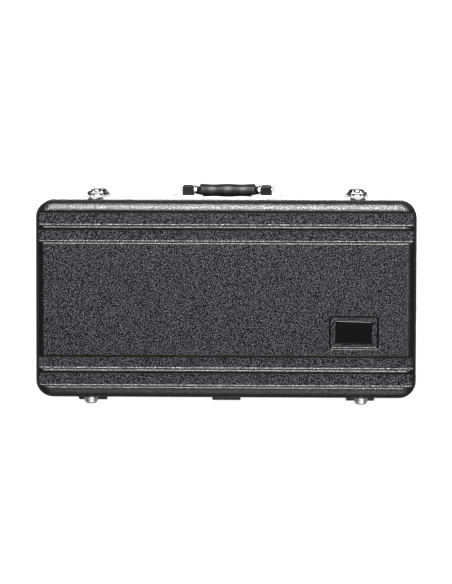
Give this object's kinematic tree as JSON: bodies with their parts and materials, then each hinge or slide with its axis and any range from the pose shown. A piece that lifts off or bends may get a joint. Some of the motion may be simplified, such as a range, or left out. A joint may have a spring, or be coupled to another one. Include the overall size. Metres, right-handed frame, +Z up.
{
  "type": "trumpet case",
  "caption": "Moulded hard case for a trumpet, with a hinged lid, draw latches, a folding handle, metal rims, feet and a plush-lined interior with a small lidded box.",
  "frame": {"origin": "centre of the base's outer face, on which the case lies", "axes": "+X along the case's length, -Y the front with the latches and the handle, +Y the rear with the hinges, +Z up through the lid"},
  "size_m": [0.544, 0.3119, 0.1553],
  "materials": {
    "shell_plastic": "moulded black ABS with a fine pebbled grain",
    "valance_aluminium": "satin anodised extrusion",
    "lining_plush": "short-pile black plush over foam",
    "pull_ribbon": "woven ribbon",
    "badge_plastic": "glossy blank plate",
    "chrome_fittings": "bright chrome plate on pressed steel",
    "hinge_black_steel": "black powder coat",
    "steel_pins": "plain bright steel",
    "spring_steel": "nickel-plated spring wire",
    "block_nylon": "moulded black nylon",
    "grip_plastic": "soft-touch moulded black plastic, finely grained"
  },
  "bodies": {
    "base": {"base_shell": "shell_plastic", "base_valance": "valance_aluminium", "base_lining": "lining_plush", "accessory_hinge_rod": "steel_pins", "foot_base_left": "chrome_fittings", "foot_base_right": "chrome_fittings", "handle_left_plate": "chrome_fittings", "handle_right_plate": "chrome_fittings", "handle_left_block": "block_nylon", "handle_right_block": "block_nylon", "handle_left_pin": "chrome_fittings", "handle_right_pin": "chrome_fittings", "handle_rivets": "steel_pins", "hinge_left_base_leaf": "hinge_black_steel", "hinge_middle_base_leaf": "hinge_black_steel", "hinge_right_base_leaf": "hinge_black_steel", "hinge_left_pin": "steel_pins", "hinge_middle_pin": "steel_pins", "hinge_right_pin": "steel_pins", "hinge_base_rivets": "steel_pins", "latch_left_plate": "chrome_fittings", "latch_right_plate": "chrome_fittings", "latch_left_pivot_pin": "chrome_fittings", "latch_right_pivot_pin": "chrome_fittings", "latch_rivets": "steel_pins"},
    "lid": {"lid_shell": "shell_plastic", "lid_valance": "valance_aluminium", "lid_lining": "lining_plush", "badge_plate": "badge_plastic", "foot_lid_left": "chrome_fittings", "foot_lid_right": "chrome_fittings", "hinge_left_lid_leaf": "hinge_black_steel", "hinge_middle_lid_leaf": "hinge_black_steel", "hinge_right_lid_leaf": "hinge_black_steel", "hinge_lid_rivets": "steel_pins", "latch_left_keeper": "chrome_fittings", "latch_right_keeper": "chrome_fittings", "keeper_rivets": "steel_pins"},
    "handle": {"handle_strap": "chrome_fittings", "handle_grip": "grip_plastic"},
    "latch_left_lever": {"latch_left_lever": "chrome_fittings", "latch_left_link_pin": "chrome_fittings"},
    "latch_left_link": {"latch_left_pull_bar": "chrome_fittings", "latch_left_springs": "spring_steel"},
    "latch_right_lever": {"latch_right_lever": "chrome_fittings", "latch_right_link_pin": "chrome_fittings"},
    "latch_right_link": {"latch_right_pull_bar": "chrome_fittings", "latch_right_springs": "spring_steel"},
    "accessory_lid": {"accessory_lid": "lining_plush", "accessory_pull_loop": "pull_ribbon"}
  },
  "joints": [
    {"name": "lid_hinge", "type": "hinge", "parent": "base", "child": "lid", "pos_m": [0, 0.1457, 0.09015], "axis": [-1, 0, 0], "range_deg": [0, 105]},
    {"name": "handle_swing", "type": "hinge", "parent": "base", "child": "handle", "pos_m": [0, -0.154, 0.068], "axis": [-1, 0, 0], "range_deg": [-5, 180]},
    {"name": "latch_left_throw", "type": "hinge", "parent": "base", "child": "latch_left_lever", "pos_m": [-0.1858, -0.1494, 0.08], "axis": [-1, 0, 0], "range_deg": [0, 85]},
    {"name": "latch_left_link_swing", "type": "hinge", "parent": "latch_left_lever", "child": "latch_left_link", "pos_m": [-0.1858, -0.1484, 0.07], "axis": [1, 0, 0], "range_deg": [0, 85]},
    {"name": "latch_right_throw", "type": "hinge", "parent": "base", "child": "latch_right_lever", "pos_m": [0.1858, -0.1494, 0.08], "axis": [-1, 0, 0], "range_deg": [0, 85]},
    {"name": "latch_right_link_swing", "type": "hinge", "parent": "latch_right_lever", "child": "latch_right_link", "pos_m": [0.1858, -0.1484, 0.07], "axis": [1, 0, 0], "range_deg": [0, 85]},
    {"name": "accessory_lid_hinge", "type": "hinge", "parent": "base", "child": "accessory_lid", "pos_m": [-0.152, 0.1115, 0.084], "axis": [-1, 0, 0], "range_deg": [0, 90]}
  ],
  "couplings": [
    {"joint": "latch_left_link_swing", "follows": "latch_left_throw", "ratio": 1},
    {"joint": "latch_right_link_swing", "follows": "latch_right_throw", "ratio": 1}
  ]
}
